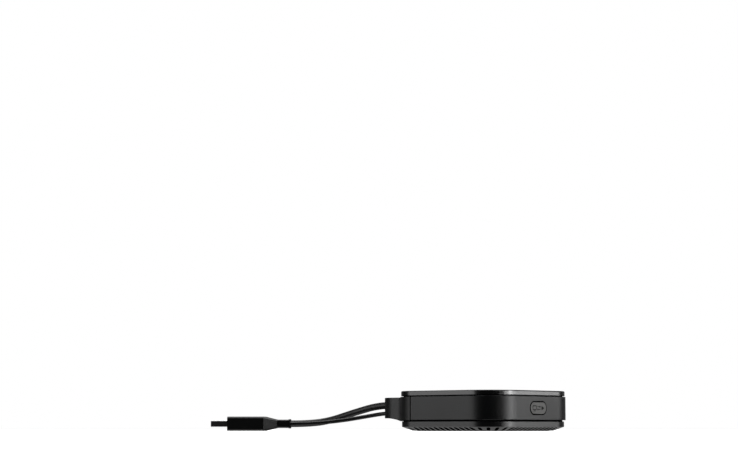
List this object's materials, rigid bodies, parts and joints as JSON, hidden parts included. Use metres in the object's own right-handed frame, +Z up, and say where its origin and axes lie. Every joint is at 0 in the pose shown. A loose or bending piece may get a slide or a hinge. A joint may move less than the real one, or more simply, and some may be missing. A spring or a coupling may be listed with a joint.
{
  "type": "wireless presentation dongle",
  "caption": "Square puck with a large press button on top, a mode key in its front face, a vented underside and two captive leads that end in a video plug and a data plug.",
  "frame": {"origin": "middle of the flat underside of the anti-slip pad, on the surface that the puck stands on", "axes": "+Z up, -Y is the face with the mode key, +Y is the way the boot points"},
  "size_m": [0.1228, 0.2513, 0.0267],
  "materials": {
    "wall_plastic": "satin, fine moulded grain",
    "cover_plastic": "satin",
    "button_plastic": "satin",
    "key_plastic": "satin",
    "clear_plastic": "frosted",
    "pad_rubber": "matt",
    "jacket_rubber": "satin",
    "plug_plastic": "satin",
    "inner_plastic": "plain",
    "plug_insert_plastic": "plain",
    "steel": "stamped and plated",
    "contact_metal": "gilt",
    "board_laminate": "solder mask",
    "package_black": "moulded",
    "spreader_aluminium": "brushed",
    "thermal_rubber": "soft",
    "lamp_white": "plain",
    "wire_plastic": "plain"
  },
  "bodies": {
    "housing": {"anti_slip_pad": "pad_rubber", "bottom_cover": "cover_plastic", "cover_screws": "steel", "heat_spreader": "spreader_aluminium", "thermal_pad": "thermal_rubber", "processor": "package_black", "main_board": "board_laminate", "memory_chips": "package_black", "shield_can": "steel", "wireless_module": "package_black", "antennas": "board_laminate", "present_switch": "inner_plastic", "mode_switch": "inner_plastic", "side_ring": "wall_plastic", "rear_cover": "wall_plastic", "cable_clamp": "inner_plastic", "clamp_screws": "steel", "hdmi_tail": "jacket_rubber", "usb_tail": "jacket_rubber", "hdmi_header": "inner_plastic", "usb_header": "inner_plastic", "hdmi_wires": "wire_plastic", "usb_wires": "wire_plastic", "inner_frame": "inner_plastic", "led_board": "board_laminate", "leds": "lamp_white", "return_spring": "steel", "light_ring": "clear_plastic", "lid_screws": "steel", "top_cover": "cover_plastic", "usb_lead": "jacket_rubber", "hdmi_lead": "jacket_rubber", "usb_plug_housing": "plug_plastic", "usb_plug_shell": "steel", "usb_plug_tongue": "plug_insert_plastic", "usb_plug_contacts": "contact_metal", "hdmi_plug_housing": "plug_plastic", "hdmi_plug_shell": "steel", "hdmi_plug_liner": "plug_insert_plastic", "hdmi_plug_contacts": "contact_metal"},
    "press_button": {"present_button": "button_plastic", "retaining_clip": "steel", "present_plunger": "inner_plastic"},
    "mode_key": {"mode_button": "key_plastic", "mode_plunger": "inner_plastic"}
  },
  "joints": [
    {"name": "present_press", "type": "slide", "parent": "housing", "child": "press_button", "axis": [0, 0, -1], "range_m": [0, 0.0008], "stiffness_N_per_m": 1500, "springref_m": -0.001, "deforming": ["return_spring"]},
    {"name": "mode_press", "type": "slide", "parent": "housing", "child": "mode_key", "axis": [0, 1, 0], "range_m": [0, 0.0005], "stiffness_N_per_m": 2000, "springref_m": -0.0006}
  ]
}
